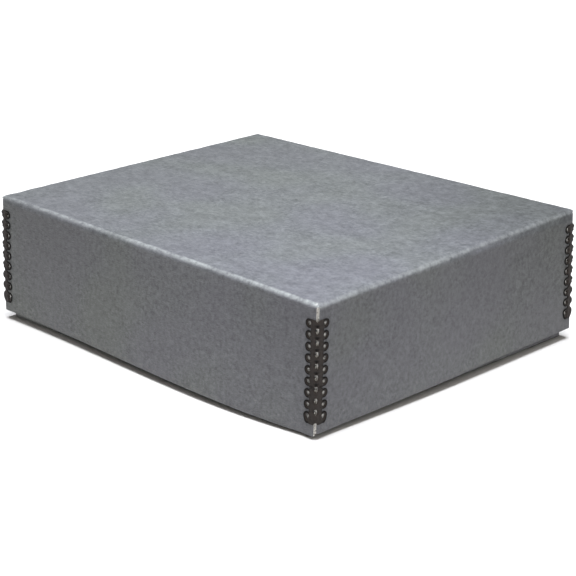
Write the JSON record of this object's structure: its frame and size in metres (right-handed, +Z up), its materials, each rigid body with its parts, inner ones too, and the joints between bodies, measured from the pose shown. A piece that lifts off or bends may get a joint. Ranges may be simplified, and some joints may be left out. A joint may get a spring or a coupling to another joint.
{
  "type": "archival box",
  "caption": "Flat board storage box for prints and papers: a folded tray under a full-depth lift-off lid, every corner held by pronged metal stays.",
  "frame": {"origin": "middle of the tray's underside, on the surface that the box stands on", "axes": "+X along the box's length, +Y across its width, +Z up, the way the lid lifts"},
  "size_m": [0.278, 0.2268, 0.0795],
  "materials": {
    "grey_board": "matte mottled blue-grey paper over pale board",
    "stay_enamel": "satin brown-black enamel on thin steel"
  },
  "bodies": {
    "tray": {"tray_board": "grey_board", "tray_stay_front_right_lower": "stay_enamel", "tray_stay_front_right_upper": "stay_enamel", "tray_stay_back_right_lower": "stay_enamel", "tray_stay_back_right_upper": "stay_enamel", "tray_stay_back_left_lower": "stay_enamel", "tray_stay_back_left_upper": "stay_enamel", "tray_stay_front_left_lower": "stay_enamel", "tray_stay_front_left_upper": "stay_enamel"},
    "lid": {"lid_board": "grey_board", "lid_stay_front_right_lower": "stay_enamel", "lid_stay_front_right_upper": "stay_enamel", "lid_stay_back_right_lower": "stay_enamel", "lid_stay_back_right_upper": "stay_enamel", "lid_stay_back_left_lower": "stay_enamel", "lid_stay_back_left_upper": "stay_enamel", "lid_stay_front_left_lower": "stay_enamel", "lid_stay_front_left_upper": "stay_enamel"}
  },
  "joints": [
    {"name": "lid_lift", "type": "slide", "parent": "tray", "child": "lid", "axis": [0, 0, 1], "range_m": [0, 0.15]}
  ]
}
